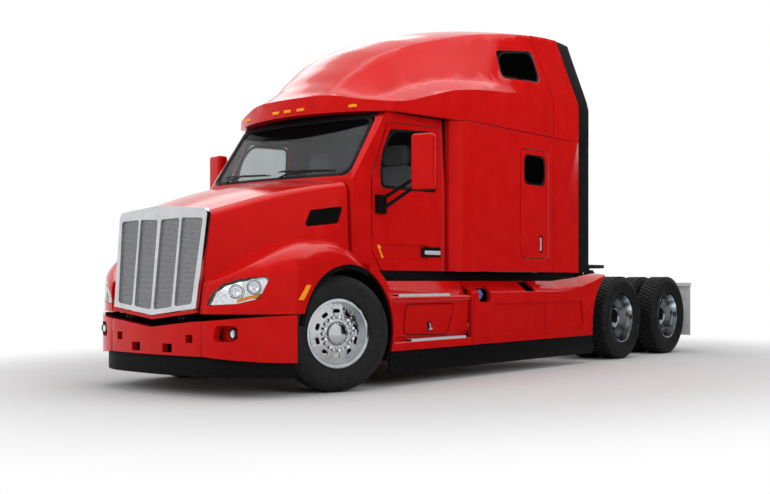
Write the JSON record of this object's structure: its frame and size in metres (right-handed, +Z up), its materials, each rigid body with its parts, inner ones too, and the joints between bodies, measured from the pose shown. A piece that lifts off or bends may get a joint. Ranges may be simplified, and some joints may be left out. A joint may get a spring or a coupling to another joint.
{
  "type": "semi truck tractor unit",
  "caption": "Aerodynamic highway tractor unit with a sloped tilting hood, raised-roof sleeper, side fairings, steered front axle, tandem drive axles and a tilting coupling plate.",
  "frame": {"origin": "on the ground under the middle of the overall length and width", "axes": "+X forward to the bumper, +Y to the driver's side (left), +Z up"},
  "size_m": [8.43, 3.0444, 3.8024],
  "materials": {
    "body_red": "gloss",
    "chassis_black": "satin",
    "black_plastic": "matt",
    "black_rubber": "matt",
    "tyre": "matt",
    "polished_aluminium": "polished",
    "chrome": "polished",
    "mesh_grey": "satin",
    "glass": "clear",
    "lamp_lens": "clear",
    "lamp_amber": "clear",
    "grey_trim": "matt",
    "seat_fabric": "woven",
    "grease_steel": "oiled"
  },
  "bodies": {
    "chassis": {"frame": "chassis_black", "engine": "chassis_black", "radiator": "chassis_black", "fuel_tanks": "polished_aluminium", "front_axle": "chassis_black", "springs": "chassis_black", "drive_axles": "chassis_black", "cab_shell": "body_red", "windscreen": "glass", "sleeper_shell": "body_red", "roof_cap": "body_red", "roof_windows": "glass", "side_extenders": "body_red", "extender_edges": "black_rubber", "dashboard": "grey_trim", "seats": "seat_fabric", "bumper": "body_red", "black_skirts": "black_plastic", "side_fairings": "body_red", "step_treads": "chrome", "lamps": "lamp_amber", "mud_flaps": "black_rubber", "fifth_wheel_base": "grease_steel"},
    "hood": {"hood": "body_red", "headlamps": "lamp_lens", "arch_liners": "black_plastic", "grille_surround": "chrome", "grille_mesh": "mesh_grey"},
    "steering_wheel": {"steering_wheel": "grey_trim"},
    "fifth_wheel": {"fifth_wheel_plate": "grease_steel"},
    "left_door": {"door_left": "body_red", "door_glass_left": "glass", "mirror_left": "body_red"},
    "left_sleeper_door": {"sleeper_door_left": "body_red", "sleeper_door_glass_left": "glass"},
    "left_knuckle": {"knuckle_left": "chassis_black"},
    "front_left_wheel": {"front_tyre_left": "tyre", "front_rim_left": "polished_aluminium"},
    "drive_1_left_wheels": {"drive_tyres_1_left": "tyre", "drive_rims_1_left": "polished_aluminium"},
    "drive_2_left_wheels": {"drive_tyres_2_left": "tyre", "drive_rims_2_left": "polished_aluminium"},
    "right_door": {"door_right": "body_red", "door_glass_right": "glass", "mirror_right": "body_red"},
    "right_sleeper_door": {"sleeper_door_right": "body_red", "sleeper_door_glass_right": "glass"},
    "right_knuckle": {"knuckle_right": "chassis_black"},
    "front_right_wheel": {"front_tyre_right": "tyre", "front_rim_right": "polished_aluminium"},
    "drive_1_right_wheels": {"drive_tyres_1_right": "tyre", "drive_rims_1_right": "polished_aluminium"},
    "drive_2_right_wheels": {"drive_tyres_2_right": "tyre", "drive_rims_2_right": "polished_aluminium"}
  },
  "joints": [
    {"name": "hood_tilt", "type": "hinge", "parent": "chassis", "child": "hood", "pos_m": [4.165, 0, 0.655], "axis": [0, 1, 0], "range_deg": [0, 75]},
    {"name": "left_door_hinge", "type": "hinge", "parent": "chassis", "child": "left_door", "pos_m": [2.463, 0.992, 1.6], "axis": [0, 0, -1], "range_deg": [0, 70]},
    {"name": "left_sleeper_door_hinge", "type": "hinge", "parent": "chassis", "child": "left_sleeper_door", "pos_m": [0.248, 1.2, 1.8], "axis": [0, 0, -1], "range_deg": [0, 90]},
    {"name": "left_steer", "type": "hinge", "parent": "chassis", "child": "left_knuckle", "pos_m": [3.015, 0.93, 0.51], "axis": [0, 0, 1], "range_deg": [-20, 60]},
    {"name": "front_left_wheel_spin", "type": "hinge", "parent": "left_knuckle", "child": "front_left_wheel", "pos_m": [3.05262, 1.03337, 0.51], "axis": [0.342, 0.9397, 0], "continuous": true},
    {"name": "drive_1_left_wheels_spin", "type": "hinge", "parent": "chassis", "child": "drive_1_left_wheels", "pos_m": [-2.115, 0.905, 0.51], "axis": [0, 1, 0], "continuous": true},
    {"name": "drive_2_left_wheels_spin", "type": "hinge", "parent": "chassis", "child": "drive_2_left_wheels", "pos_m": [-3.435, 0.905, 0.51], "axis": [0, 1, 0], "continuous": true},
    {"name": "right_door_hinge", "type": "hinge", "parent": "chassis", "child": "right_door", "pos_m": [2.463, -0.992, 1.6], "axis": [0, 0, 1], "range_deg": [0, 70]},
    {"name": "right_sleeper_door_hinge", "type": "hinge", "parent": "chassis", "child": "right_sleeper_door", "pos_m": [0.248, -1.2, 1.8], "axis": [0, 0, 1], "range_deg": [0, 90]},
    {"name": "right_steer", "type": "hinge", "parent": "chassis", "child": "right_knuckle", "pos_m": [3.015, -0.93, 0.51], "axis": [0, 0, 1], "range_deg": [-20, 60]},
    {"name": "front_right_wheel_spin", "type": "hinge", "parent": "right_knuckle", "child": "front_right_wheel", "pos_m": [2.97738, -1.03337, 0.51], "axis": [0.342, 0.9397, 0], "continuous": true},
    {"name": "drive_1_right_wheels_spin", "type": "hinge", "parent": "chassis", "child": "drive_1_right_wheels", "pos_m": [-2.115, -0.905, 0.51], "axis": [0, 1, 0], "continuous": true},
    {"name": "drive_2_right_wheels_spin", "type": "hinge", "parent": "chassis", "child": "drive_2_right_wheels", "pos_m": [-3.435, -0.905, 0.51], "axis": [0, 1, 0], "continuous": true},
    {"name": "steering_wheel_turn", "type": "hinge", "parent": "chassis", "child": "steering_wheel", "pos_m": [2.143, 0.52, 1.845], "axis": [-0.766, 0, 0.6428], "range_deg": [-360, 1080]},
    {"name": "fifth_wheel_tilt", "type": "hinge", "parent": "chassis", "child": "fifth_wheel", "pos_m": [-2.775, 0, 1.08], "axis": [0, 1, 0], "range_deg": [-12, 12]}
  ],
  "couplings": [
    {"joint": "right_steer", "follows": "left_steer", "ratio": 1},
    {"joint": "steering_wheel_turn", "follows": "left_steer", "ratio": 18}
  ]
}
